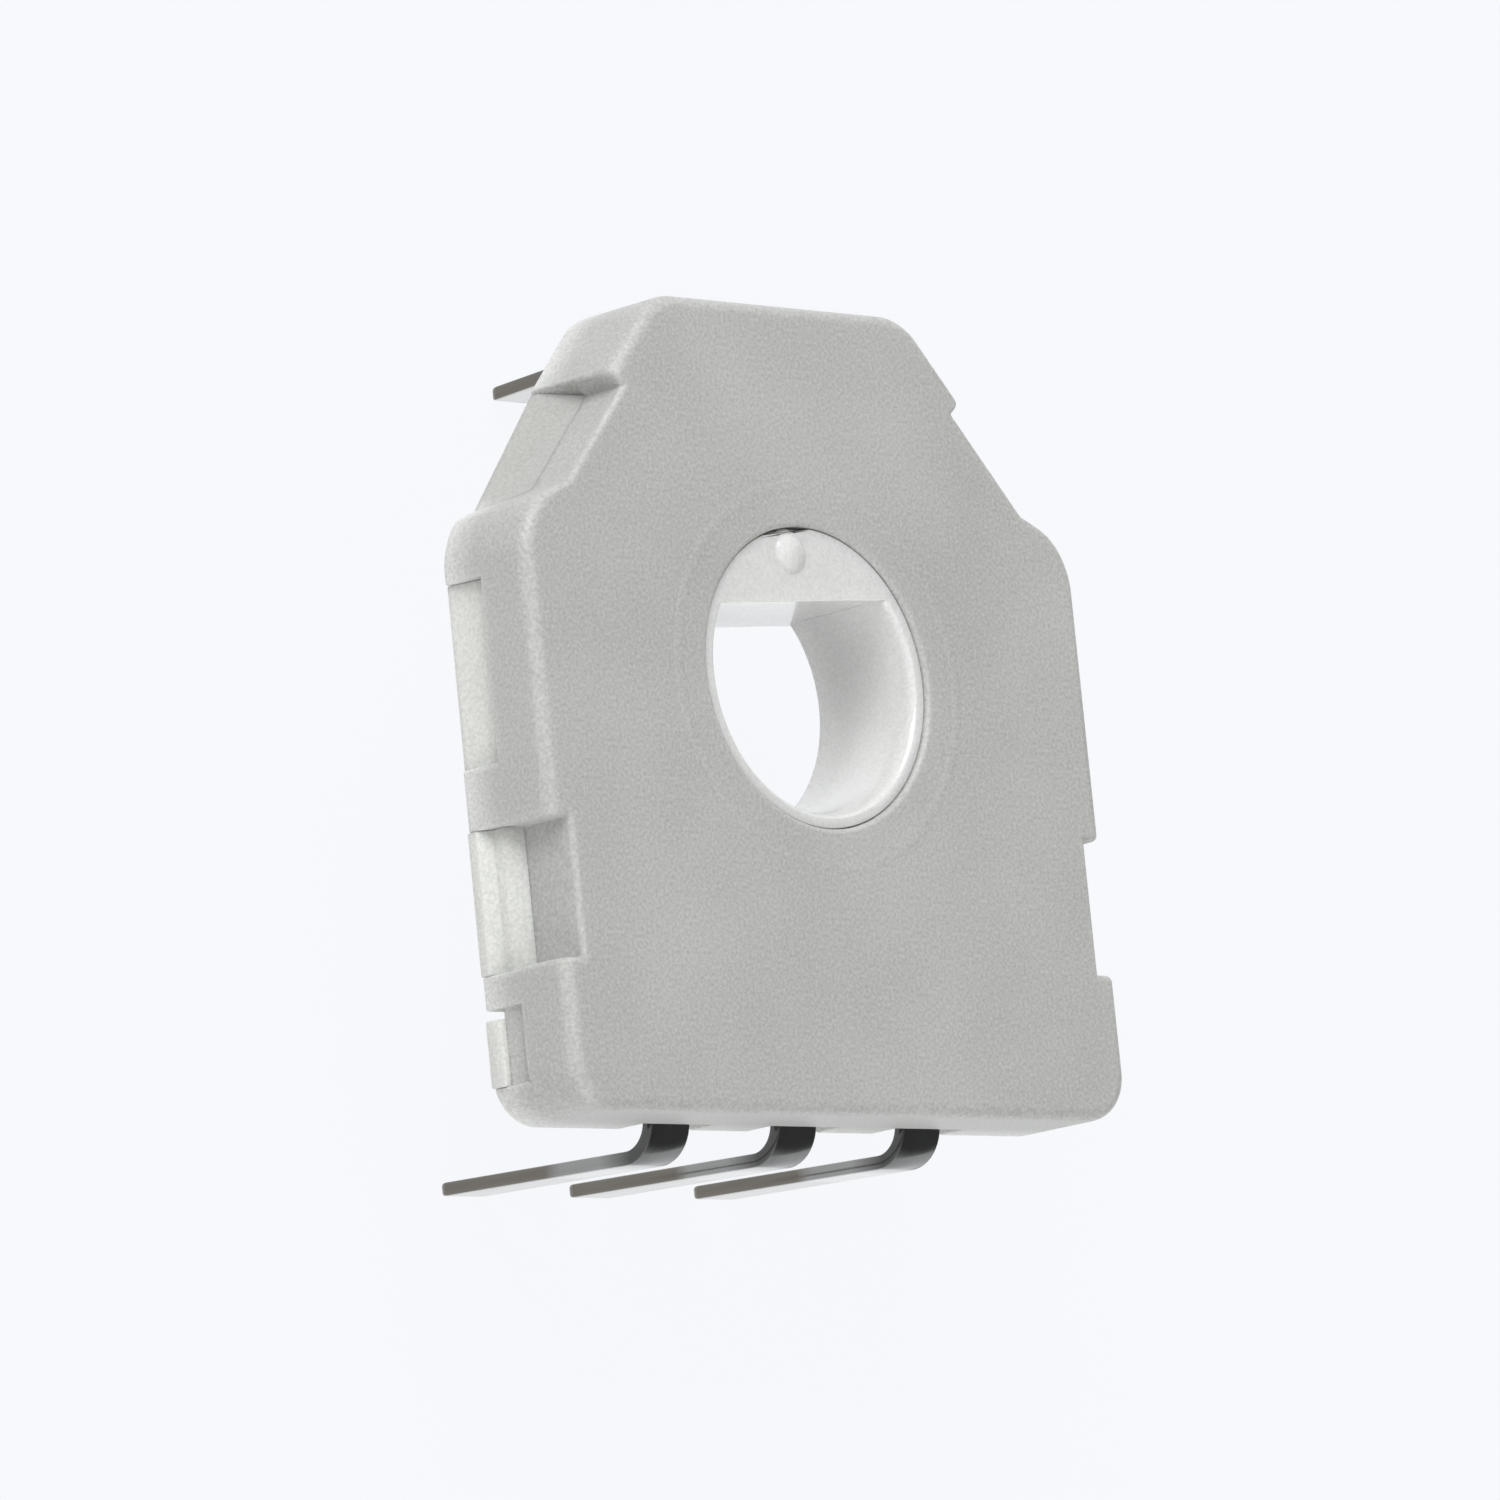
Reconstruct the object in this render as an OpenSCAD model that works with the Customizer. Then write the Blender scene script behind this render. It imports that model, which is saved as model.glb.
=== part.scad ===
// Flat rotary position sensor with a through-going D-hole rotor and four board pins.
// The origin is on the rotor axis at the board's surface; +Z runs from the board to the front face.

/* [Body outline] */
// Width across the two parallel sides
body_w = 11; // [10.6:0.1:13]
// Width of the straight top edge, between its sharp corners
top_w = 5; // [4:0.1:6]
// From the rotor axis to the top edge
body_top = 5.4; // [5.2:0.05:6.5]
// From the rotor axis up to the corner where slope and side meet
shoulder_y = 1.92; // [1.7:0.02:2.3]
// From the rotor axis to the bottom edge
body_bottom = 6.25; // [6.1:0.05:7.5]
// Thickness from the board's surface to the front face
body_t = 2.1; // [2:0.02:2.6]
// Corner radius at the ends of the top edge
top_r = 0.85; // [0.4:0.05:1.2]
// Corner radius at the shoulders
shoulder_r = 1; // [0.5:0.05:1.4]
// Corner radius at the bottom
bottom_r = 0.7; // [0.3:0.05:1]
// Rounding of the edge round the front face
edge_r = 0.12; // [0.05:0.01:0.25]

/* [Front housing] */
// Thickness of the front wall
front_wall = 0.45; // [0.4:0.01:0.6]
// Thickness of the skirt
side_wall = 0.7; // [0.6:0.02:0.8]
// Height of the skirt's rear edge above the board
skirt_lift = 0.4; // [0.2:0.02:0.5]
// Rounding of the rim round the rotor
rim_r = 0.08; // [0.03:0.01:0.3]
// Room beside each pin in its slot in the skirt
pin_slot_side = 0.32; // [0.1:0.01:0.5]
// Room above each pin's strip in its slot
pin_slot_room = 0.15; // [0.05:0.01:0.3]

/* [Snap windows in the skirt] */
// From the top edge's corner along the slope to the slope notch
slope_notch_from = 1.57; // [1.2:0.01:1.8]
// Length of the slope notch
slope_notch_l = 2.08; // [1.6:0.02:2.3]
// Depth of the slope notch
slope_notch_d = 0.31; // [0.15:0.01:0.4]
// How far the lower wall of the slope notch leans along the slope
slope_notch_lean = 0.2; // [0:0.01:0.3]
// Length of the slope notch's open floor, from the front face back
slope_floor_l = 0.78; // [0.5:0.01:0.9]
// From the bottom edge up to the middle of the side notch
side_notch_up = 3.1; // [2.9:0.01:3.2]
// Length of the side notch
side_notch_l = 1.97; // [1.5:0.01:2.1]
// Depth of the side notch
side_notch_d = 0.37; // [0.2:0.01:0.42]
// Length of the upper window
upper_window_l = 2.62; // [1.6:0.01:2.7]
// From the rotor axis up to the middle of the upper window
upper_window_up = 0.04; // [-0.1:0.01:0.1]
// Length of the lower window
lower_window_l = 1.09; // [0.7:0.01:1.2]
// From the bottom edge up to the middle of the lower window
lower_window_up = 1.07; // [1:0.01:1.15]
// From the front face back to the three side windows
window_from = 0.94; // [0.8:0.01:1.1]

/* [Rear base] */
// Width of the rim that stands on the floor inside the skirt
rim_w = 0.35; // [0.2:0.01:0.45]
// Height of that rim
rim_h = 0.5; // [0.3:0.01:0.55]
// Clearance between base and housing
fit_gap = 0.05; // [0.02:0.01:0.1]
// How far the upper lug lies behind the side face
upper_lug_recess = 0.13; // [0:0.01:0.35]
// How far the upper part of the lower lug lies behind the side face
lower_lug_recess = 0.1; // [0:0.01:0.35]
// Height of the flush heel on the lower lug
lower_heel_h = 0.3; // [0.1:0.01:0.4]
// Height of the flush heel on the side tongue
tongue_heel_h = 0.18; // [0.05:0.01:0.25]
// Size of the tongue's first ramp, up and in
tongue_step = 0.17; // [0.05:0.01:0.2]
// Height of the land between the tongue's two ramps
tongue_land_h = 0.16; // [0.05:0.01:0.2]
// Height of the heel on the slope tongue, before its ramp
slope_heel_h = 0.15; // [0.05:0.01:0.3]
// How far that heel lies behind the slope, in the middle of its length
slope_heel_recess = 0.13; // [0.1:0.01:0.2]
// How far the slope tongue's face turns inwards towards its lower end, in degrees
slope_tongue_turn = 5; // [0:0.1:5]

/* [Rotor] */
// Diameter of the D-hole
shaft_d = 3.8; // [3:0.05:4]
// From the axis to the flat of the D-hole
shaft_flat = 1.1; // [0.7:0.05:1.4]
// Lead-in round the hole at both ends
lead_in = 0.13; // [0.05:0.01:0.25]
// Land between the lead-in and the edge of the front collar
collar_land = 0.13; // [0.02:0.01:0.2]
// How far the rotor's front face lies behind the housing's
front_recess = 0.07; // [0:0.01:0.15]
// How far the rear collar in the base stands out past the front collar
rear_collar_step = 0.29; // [0.2:0.01:0.35]
// How far the hub behind the flange stands out past the rear collar
hub_step = 0.3; // [0.2:0.01:0.35]
// How far the flange reaches past the substrate
flange_over = 0.05; // [0:0.01:0.15]
// Thickness of the flange
flange_t = 0.35; // [0.25:0.01:0.4]
// Radial and axial running clearance
running_gap = 0.05; // [0.03:0.01:0.06]
// Height of the rotor's rear end above the board
rear_lift = 0.04; // [0.02:0.01:0.1]
// Angle of the rotor at rest
rest_angle = 3.6; // [-180:0.2:180]
// Angle of the index pip from the middle of the flat
index_angle = 4.5; // [-20:0.5:20]
// From the collar's edge in to the middle of the index pip
pip_in = 0.34; // [0.34:0.01:0.5]
// Diameter of the index pip
pip_d = 0.6; // [0.3:0.02:0.6]
// Height of the index pip
pip_h = 0.14; // [0.05:0.01:0.2]
// Depth of the flat on the collar beside the pip
relief_d = 0.02; // [0.01:0.01:0.03]

/* [Resistive element] */
// Thickness of the substrate
substrate_t = 0.2; // [0.15:0.01:0.25]
// Room between the base's rim and the substrate's round part
substrate_room = 0.25; // [0.1:0.01:0.4]
// How far the substrate's tail reaches past the outer terminals
substrate_tail_side = 0.22; // [0.1:0.01:0.4]
// Thickness of the printed films
film_t = 0.04; // [0.02:0.01:0.06]
// Angle that the resistive track covers
track_angle = 330; // [300:1:340]
// Inner edge of the collector ring, as a share of the element's width
collector_from = 0.08; // [0.05:0.01:0.12]
// Width of the collector ring, as a share of the element's width
collector_share = 0.21; // [0.16:0.01:0.25]
// Inner edge of the resistive track, as a share of the element's width
track_from = 0.46; // [0.42:0.01:0.5]
// Width of the resistive track, as a share of the element's width
track_share = 0.42; // [0.3:0.01:0.45]
// Width of the printed leads
lead_w = 0.5; // [0.3:0.02:0.6]

/* [Wiper] */
// Room for the wiper between the films and the flange
wiper_room = 0.41; // [0.35:0.01:0.5]
// Thickness of the wiper's sheet
wiper_t = 0.08; // [0.05:0.01:0.1]
// Angle that the wiper's plate covers
wiper_angle = 100; // [70:5:140]
// Width of one finger, as a share of the track's width
finger_share = 0.36; // [0.25:0.01:0.4]
// Gap between the two fingers on the track, as a share of the track's width
finger_gap_share = 0.12; // [0.06:0.01:0.2]
// Length of the fingers on the track, to the contact
track_finger_l = 1; // [0.7:0.05:1.2]
// Length of the finger on the collector, to the contact
collector_finger_l = 0.7; // [0.5:0.05:0.8]
// Gap under the contacts
contact_gap = 0.02; // [0.01:0.005:0.04]
// Diameter of the stakes that hold the wiper, as a share of its plate's width
stake_share = 0.38; // [0.3:0.01:0.45]
// Diameter of the stakes' heads, as a share of the plate's width
stake_head_share = 0.57; // [0.5:0.01:0.65]

/* [Pins] */
// Pitch of the three terminals
pitch = 2.5; // [2.3:0.02:2.6]
// From the bottom edge out to the middle of the terminal row
terminal_out = 0.37; // [0.25:0.01:0.5]
// From the top edge in to the middle of the support pin
support_in = 0.02; // [0:0.01:0.2]
// Width of a pin
pin_w = 0.75; // [0.5:0.01:0.9]
// Thickness of a pin
pin_t = 0.2; // [0.15:0.01:0.22]
// Inner radius of a pin's bend
bend_r = 0.4; // [0.1:0.01:0.42]
// How far the pins lean inwards, in degrees
pin_lean = 2; // [0:0.1:5]
// Length of the pins below the board's surface
pin_l = 3.7; // [2.5:0.05:4.5]
// Corner radius at a pin's tip
tip_r = 0.2; // [0.05:0.01:0.24]

/* [Hidden] */

$fn = 64;
arc_steps = 6;
edge_steps = 3;
// Overshoot of a cut past the face that it opens
over = 0.5;

front_inner_z = body_t - front_wall;
window_z = body_t - window_from;
slope_window_z = body_t - slope_floor_l;
slope_run = [body_w - top_w, 2 * (shoulder_y - body_top)] / 2;
slope_dir = slope_run / norm(slope_run);
slope_normal_angle = atan2(slope_dir.x, -slope_dir.y);
slope_notch_mid = [top_w / 2, body_top] + slope_dir * (slope_notch_from + slope_notch_l / 2);
side_notch_y = body_bottom - side_notch_up;
lower_window_y = body_bottom - lower_window_up;
pin_slot_w = pin_w + 2 * pin_slot_side;

// Heights, from the front wall down through flange, wiper and element to the base's floor
flange_top_z = front_inner_z - running_gap;
flange_z = flange_top_z - flange_t;
wiper_z = flange_z - wiper_t;
film_z = flange_z - wiper_room;
contact_z = film_z + contact_gap;
element_z = film_z - film_t;
base_floor = element_z - substrate_t;
boss_z = element_z + running_gap;
hub_z = boss_z + running_gap;

base_inset = side_wall + fit_gap;
base_rim_inset = base_inset + rim_w;
rim_z = base_floor + rim_h;
// Tongues and lugs end in the middle of the rim
lug_root = base_inset + rim_w / 2;

rotor_front_z = body_t - front_recess;

// Radii, from the shaft out to the hub
shaft_r = shaft_d / 2;
collar_r = shaft_r + lead_in + collar_land;
rear_collar_r = collar_r + rear_collar_step;
hub_r = rear_collar_r + hub_step;
rim_hole_r = collar_r + running_gap;
base_bore_r = rear_collar_r + running_gap;
boss_r = hub_r + running_gap;
pip_from_axis = collar_r - pip_in;

// Radii of the element, between the boss and the nearest stretch of the base's rim
substrate_end_y = -body_bottom + base_rim_inset + rim_w + fit_gap;
slope_from_axis = [top_w / 2, body_top] * [cos(slope_normal_angle), sin(slope_normal_angle)];
rim_from_axis = min(body_w / 2, slope_from_axis, body_top, body_bottom - rim_w - fit_gap) - base_rim_inset;
substrate_r = rim_from_axis - substrate_room;
substrate_hole_r = boss_r + fit_gap;
substrate_tail_w = 2 * (pitch + substrate_tail_side) + pin_w;
element_w = substrate_r - substrate_hole_r;
collector_r = substrate_hole_r + collector_from * element_w;
collector_w = collector_share * element_w;
collector_outer_r = collector_r + collector_w;
track_r = substrate_hole_r + track_from * element_w;
track_w = track_share * element_w;
track_outer_r = track_r + track_w;
track_end_angle = -90 + (360 - track_angle) / 2;
flange_r = substrate_r + flange_over;

wiper_in_r = hub_r + 2 * fit_gap;
wiper_plate_w = track_outer_r - wiper_in_r;
finger_w = finger_share * track_w;
finger_gap = finger_gap_share * track_w;
stake_d = stake_share * wiper_plate_w;
stake_head_d = stake_head_share * wiper_plate_w;

// The strips' upper face is level with the element, so that the printed leads run onto it
terminal_row = body_bottom + terminal_out;
support_row = body_top - support_in;
strip_z = element_z - pin_t;
strip_in_y = substrate_end_y - fit_gap;
lead_end_y = (strip_in_y - body_bottom + base_rim_inset) / 2;
support_in_y = body_top - base_rim_inset;
bend_outer_r = bend_r + pin_t;

// Outline corners, anticlockwise from the lower right: place and radius
corners = [[body_w / 2, -body_bottom, bottom_r],
           [body_w / 2, shoulder_y, shoulder_r],
           [top_w / 2, body_top, top_r],
           [-top_w / 2, body_top, top_r],
           [-body_w / 2, shoulder_y, shoulder_r],
           [-body_w / 2, -body_bottom, bottom_r]];
// Least corner radius on an inset outline
least_r = 0.12;

function place(i) = [corners[i].x, corners[i].y];
function normal(from, to) = let (d = (to - from) / norm(to - from)) [d.y, -d.x];
function angle_of(v) = atan2(v.y, v.x);

// Points of the body's outline, moved inwards by an inset
function outline(inset) = [
    for (i = [0 : len(corners) - 1])
        let (here = place(i),
             n_in = normal(place((i + 5) % 6), here),
             n_out = normal(here, place((i + 1) % 6)),
             inwards = (n_in + n_out) / (1 + n_in * n_out),
             r = max(corners[i].z - inset, least_r),
             start = angle_of(n_in),
             sweep = acos(n_in * n_out))
            for (k = [0 : arc_steps])
                let (a = start + sweep * k / arc_steps)
                    here - (inset + r) * inwards + r * [cos(a), sin(a)]];

module slab(inset, z_low, z_high) {
    translate([0, 0, z_low])
        linear_extrude(z_high - z_low)
            polygon(outline(inset));
}

module both_sides() {
    children();
    mirror([1, 0, 0])
        children();
}

// Local frame on the right side face: X outwards, Y up the face
module on_side(y) {
    translate([body_w / 2, y, 0])
        children();
}

// Local frame on the right slope at the middle of its notch: X outwards, Y up the slope
module on_slope() {
    translate([slope_notch_mid.x, slope_notch_mid.y, 0])
        rotate([0, 0, slope_normal_angle])
            children();
}

module block(x_low, x_high, length, z_low, z_high) {
    translate([x_low, -length / 2, z_low])
        cube([x_high - x_low, length, z_high - z_low]);
}

// Prism of the slope notch's shape, from x_low to x_high, narrowed at both ends by a gap
module slope_prism(x_low, x_high, gap, z_low, z_high) {
    lean = slope_notch_lean / slope_notch_d;
    top_y = slope_notch_l / 2 - gap;
    low_y = -slope_notch_l / 2 + gap;
    translate([0, 0, z_low])
        linear_extrude(z_high - z_low)
            polygon([[x_low, top_y], [x_low, low_y - x_low * lean],
                     [x_high, low_y - x_high * lean], [x_high, top_y]]);
}

// Full rounded body that the housing is hollowed from
module rounded_body() {
    hull() {
        slab(0, skirt_lift, body_t - edge_r);
        for (k = [1 : edge_steps])
            let (a = 90 * k / edge_steps)
                slab(edge_r * (1 - cos(a)), body_t - edge_r, body_t - edge_r + edge_r * sin(a));
    }
}

// Opening for the rotor's collar, with its rounded front rim
module rim_hole() {
    translate([0, 0, front_inner_z - over])
        cylinder(r = rim_hole_r, h = front_wall + 2 * over);
    rotate_extrude()
        difference() {
            translate([0, body_t - rim_r])
                square([rim_hole_r + rim_r, rim_r + over]);
            translate([rim_hole_r + rim_r, body_t - rim_r])
                circle(r = rim_r);
        }
}

// Slots in the skirt's rear edge that the pins pass through
module pin_slots() {
    slot_top = element_z + pin_slot_room;
    wall_cut = side_wall + 2 * over;
    for (x = [-pitch, 0, pitch])
        translate([x - pin_slot_w / 2, -body_bottom - over, skirt_lift - over])
            cube([pin_slot_w, wall_cut, slot_top - skirt_lift + over]);
    translate([-pin_slot_w / 2, body_top - side_wall - over, skirt_lift - over])
        cube([pin_slot_w, wall_cut, slot_top - skirt_lift + over]);
}

// Notches in the outer faces, open to the front, and windows through the skirt behind them
module snap_windows() {
    rear_z = skirt_lift - over;
    wall_in = -side_wall - over;
    on_slope() {
        slope_prism(-slope_notch_d, over, 0, slope_window_z - over, body_t + over);
        slope_prism(wall_in, over, 0, rear_z, slope_window_z);
    }
    on_side(-side_notch_y) {
        block(-side_notch_d, over, side_notch_l, window_z - over, body_t + over);
        block(wall_in, over, side_notch_l, rear_z, window_z);
    }
    on_side(upper_window_up)
        block(wall_in, over, upper_window_l, rear_z, window_z);
    on_side(-lower_window_y)
        block(wall_in, over, lower_window_l, rear_z, window_z);
}

module front_housing() {
    color([0.74, 0.75, 0.73])
        difference() {
            rounded_body();
            slab(side_wall, skirt_lift - over, front_inner_z);
            rim_hole();
            pin_slots();
            both_sides()
                snap_windows();
        }
}

// Snap tongue in the side notch: a flush heel, then two ramps up to the notch floor
module side_tongue() {
    heel_z = skirt_lift + tongue_heel_h;
    land_z = heel_z + tongue_step;
    length = side_notch_l - 2 * fit_gap;
    translate([0, length / 2, 0])
        rotate([90, 0, 0])
            linear_extrude(length)
                polygon([[-lug_root, skirt_lift], [0, skirt_lift], [0, heel_z],
                         [-tongue_step, land_z], [-tongue_step, land_z + tongue_land_h],
                         [-side_notch_d, window_z], [-lug_root, window_z]]);
}

// Snap tongue in the slope notch: a low heel, then a ramp up to the notch floor
module slope_tongue() {
    heel_z = skirt_lift + slope_heel_h;
    difference() {
        slope_prism(-lug_root, 0, fit_gap, skirt_lift, slope_window_z);
        rotate([90, 0, -slope_tongue_turn])
            linear_extrude(2 * slope_notch_l, center = true)
                polygon([[-slope_heel_recess, skirt_lift - over], [over, skirt_lift - over],
                         [over, slope_window_z + over], [-slope_notch_d, slope_window_z + over],
                         [-slope_notch_d, slope_window_z], [-slope_heel_recess, heel_z]]);
    }
}

// Tongues and lugs that fill the housing's windows
module base_lugs() {
    on_slope()
        slope_tongue();
    on_side(-side_notch_y)
        side_tongue();
    on_side(upper_window_up)
        block(-lug_root, -upper_lug_recess, upper_window_l - 2 * fit_gap, skirt_lift, window_z);
    on_side(-lower_window_y) {
        lower_l = lower_window_l - 2 * fit_gap;
        block(-lug_root, 0, lower_l, skirt_lift, skirt_lift + lower_heel_h);
        block(-lug_root, -lower_lug_recess, lower_l, skirt_lift, window_z);
    }
}

module rear_base() {
    color([0.78, 0.79, 0.75])
        difference() {
            union() {
                slab(base_inset, 0, base_floor);
                difference() {
                    slab(base_inset, 0, rim_z);
                    slab(base_rim_inset, base_floor, rim_z + over);
                }
                cylinder(r = boss_r, h = boss_z);
                both_sides()
                    base_lugs();
            }
            translate([0, 0, -over])
                cylinder(r = base_bore_r, h = boss_z + 2 * over);
            for (x = [-pitch, 0, pitch])
                translate([x - pin_w / 2, -body_bottom, strip_z])
                    cube([pin_w, body_bottom + strip_in_y, pin_t]);
            translate([-pin_w / 2, support_in_y, strip_z])
                cube([pin_w, body_top - support_in_y, pin_t]);
        }
}

module d_section(r, flat) {
    intersection() {
        circle(r = r);
        translate([-r, flat - 2 * r])
            square(2 * r);
    }
}

// Through-hole for the shaft, with a lead-in round its curved part at both ends
module d_hole() {
    depth = rotor_front_z - rear_lift;
    translate([0, 0, rear_lift - over])
        linear_extrude(depth + 2 * over)
            d_section(shaft_r, shaft_flat);
    intersection() {
        union() {
            translate([0, 0, rotor_front_z - lead_in])
                cylinder(r1 = shaft_r, r2 = shaft_r + lead_in, h = lead_in);
            translate([0, 0, rear_lift])
                cylinder(r1 = shaft_r + lead_in, r2 = shaft_r, h = lead_in);
        }
        translate([-collar_r, shaft_flat - 2 * collar_r, 0])
            cube([2 * collar_r, 2 * collar_r, rotor_front_z]);
    }
}

module turned_rotor() {
    rotate_extrude()
        polygon([[0, rear_lift], [rear_collar_r, rear_lift], [rear_collar_r, hub_z], [hub_r, hub_z],
                 [hub_r, flange_z], [flange_r, flange_z], [flange_r, flange_top_z],
                 [collar_r, flange_top_z], [collar_r, rotor_front_z], [0, rotor_front_z]]);
}

// Domed pip on the rotor's front face
module index_pip() {
    dome_r = (pip_d * pip_d / 4 + pip_h * pip_h) / (2 * pip_h);
    root_d = pip_d + relief_d;
    intersection() {
        translate([0, pip_from_axis, rotor_front_z + pip_h - dome_r])
            sphere(r = dome_r);
        translate([0, pip_from_axis, rotor_front_z - pip_h])
            cylinder(d = root_d, h = 3 * pip_h);
    }
}

// Places of the two stakes on the wiper's plate
module at_stakes() {
    for (side = [-1, 1])
        rotate([0, 0, 90 + side * wiper_angle / 3])
            translate([wiper_in_r + wiper_plate_w / 2, 0, 0])
                children();
}

module stakes() {
    head_t = wiper_t;
    at_stakes() {
        translate([0, 0, wiper_z - head_t])
            cylinder(d = stake_d, h = flange_z + flange_t / 2 - wiper_z + head_t);
        translate([0, 0, wiper_z - head_t])
            cylinder(d = stake_head_d, h = head_t);
    }
}

module rotor() {
    color([0.87, 0.88, 0.87])
        rotate([0, 0, rest_angle]) {
            difference() {
                turned_rotor();
                d_hole();
                rotate([0, 0, index_angle])
                    translate([-collar_r, collar_r - relief_d, flange_top_z])
                        cube([2 * collar_r, collar_r, front_wall + over]);
            }
            rotate([0, 0, index_angle])
                index_pip();
            stakes();
        }
}

// Distance from the axis of a straight finger whose contact runs at contact_r
function finger_r(contact_r, length) = sqrt(contact_r * contact_r - length * length);

// One bent finger: it leaves the plate's end, slopes down to its contact and turns up at the toe
module finger(r, length) {
    root_l = wiper_t;
    toe_l = 2 * wiper_t;
    toe_z = contact_z + wiper_t;
    translate([r, 0, 0])
        rotate([90, 0, 90])
            linear_extrude(finger_w, center = true)
                polygon([[-root_l, wiper_z], [root_l, wiper_z], [length, contact_z], [length + toe_l, toe_z],
                         [length + toe_l, toe_z + wiper_t], [length, contact_z + wiper_t],
                         [root_l, flange_z], [-root_l, flange_z]]);
}

module wiper() {
    end_angle = 90 + wiper_angle / 2;
    track_finger_r = finger_r(track_r + track_w / 2, track_finger_l);
    collector_finger_r = finger_r(collector_r + collector_w / 2, collector_finger_l);
    color([0.80, 0.66, 0.36])
        rotate([0, 0, rest_angle]) {
            difference() {
                rotate([0, 0, 90 - wiper_angle / 2])
                    rotate_extrude(angle = wiper_angle)
                        translate([wiper_in_r, wiper_z])
                            square([wiper_plate_w, wiper_t]);
                at_stakes()
                    translate([0, 0, wiper_z - over])
                        cylinder(d = stake_d, h = wiper_t + 2 * over);
            }
            rotate([0, 0, end_angle]) {
                for (side = [-1, 1])
                    finger(track_finger_r + side * (finger_w + finger_gap) / 2, track_finger_l);
                finger(collector_finger_r, collector_finger_l);
            }
        }
}

module element_substrate() {
    color([0.35, 0.42, 0.30])
        translate([0, 0, base_floor])
            linear_extrude(substrate_t)
                difference() {
                    union() {
                        circle(r = substrate_r);
                        translate([-substrate_tail_w / 2, substrate_end_y])
                            square([substrate_tail_w, -substrate_end_y]);
                    }
                    circle(r = substrate_hole_r);
                }
}

module resistive_track() {
    color([0.12, 0.12, 0.12])
        rotate([0, 0, track_end_angle])
            rotate_extrude(angle = track_angle)
                translate([track_r, element_z])
                    square([track_w, film_t]);
}

module collector_ring() {
    color([0.70, 0.70, 0.68])
        translate([0, 0, element_z])
            linear_extrude(film_t)
                difference() {
                    union() {
                        circle(r = collector_outer_r);
                        translate([-lead_w / 2, lead_end_y])
                            square([lead_w, -lead_end_y]);
                    }
                    circle(r = collector_r);
                }
}

// Printed lead from the track's right end to the right terminal
module end_termination() {
    inner = track_r * [cos(track_end_angle), sin(track_end_angle)];
    outer = track_outer_r * [cos(track_end_angle), sin(track_end_angle)];
    run_y = -track_outer_r - lead_w / 2;
    near_x = inner.x - lead_w / 2;
    translate([0, 0, element_z])
        linear_extrude(film_t)
            polygon([inner, outer, [outer.x, run_y], [pitch + lead_w / 2, run_y],
                     [pitch + lead_w / 2, lead_end_y], [pitch - lead_w / 2, lead_end_y],
                     [pitch - lead_w / 2, run_y - lead_w], [near_x, run_y - lead_w], [near_x, inner.y]]);
}

module end_terminations() {
    color([0.75, 0.75, 0.72])
        both_sides()
            end_termination();
}

// Front view of a pin, with rounded tip corners
module pin_front() {
    half = pin_w / 2;
    corner_x = half - tip_r;
    corner_z = -pin_l + tip_r;
    top_z = element_z + over;
    tip = [for (side = [-1, 1], k = [0 : arc_steps])
               let (a = side < 0 ? 180 + 90 * k / arc_steps : 270 + 90 * k / arc_steps)
                   [side * corner_x + tip_r * cos(a), corner_z + tip_r * sin(a)]];
    polygon(concat(tip, [[half, top_z], [-half, top_z]]));
}

function bend_arc(r) = [for (k = [0 : arc_steps])
                            let (a = 90 + (90 + pin_lean) * k / arc_steps)
                                r * [cos(a), sin(a)]];

// Side view of a pin about the middle of its bend: the strip's root, the bend and the leaning blade
module pin_side(root, blade_l) {
    outer = bend_arc(bend_outer_r);
    inner = bend_arc(bend_r);
    down = blade_l * [sin(pin_lean), -cos(pin_lean)];
    polygon(concat([[root, bend_r], [root, bend_outer_r]], outer,
                   [outer[arc_steps] + down, inner[arc_steps] + down],
                   [for (k = [arc_steps : -1 : 0]) inner[k]]));
}

// Pin pointing down at row_y, whose strip runs in from its bend to in_y on the +Y side
module bent_pin(row_y, in_y) {
    bend_y = row_y - pin_t / 2 + bend_outer_r;
    bend_z = element_z - bend_outer_r;
    intersection() {
        translate([0, bend_y, bend_z])
            rotate([90, 0, 90])
                linear_extrude(2 * pin_w, center = true)
                    pin_side(in_y - bend_y, pin_l + bend_z + over);
        rotate([90, 0, 0])
            linear_extrude(4 * body_bottom, center = true)
                pin_front();
    }
}

module terminal(x) {
    color([0.62, 0.61, 0.58])
        translate([x, 0, 0])
            bent_pin(-terminal_row, strip_in_y);
}

module support_pin() {
    color([0.62, 0.61, 0.58])
        mirror([0, 1, 0])
            bent_pin(-support_row, -support_in_y);
}

front_housing();
rear_base();
rotor();
wiper();
element_substrate();
resistive_track();
collector_ring();
end_terminations();
terminal(-pitch);  // terminal_1
terminal(0);  // terminal_2
terminal(pitch);  // terminal_3
support_pin();
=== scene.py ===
"""Looks of a flat rotary position sensor: white moulded body, D-hole rotor and bent blade pins."""
import math

import bmesh
import bpy
from mathutils import Matrix, Vector


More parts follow.
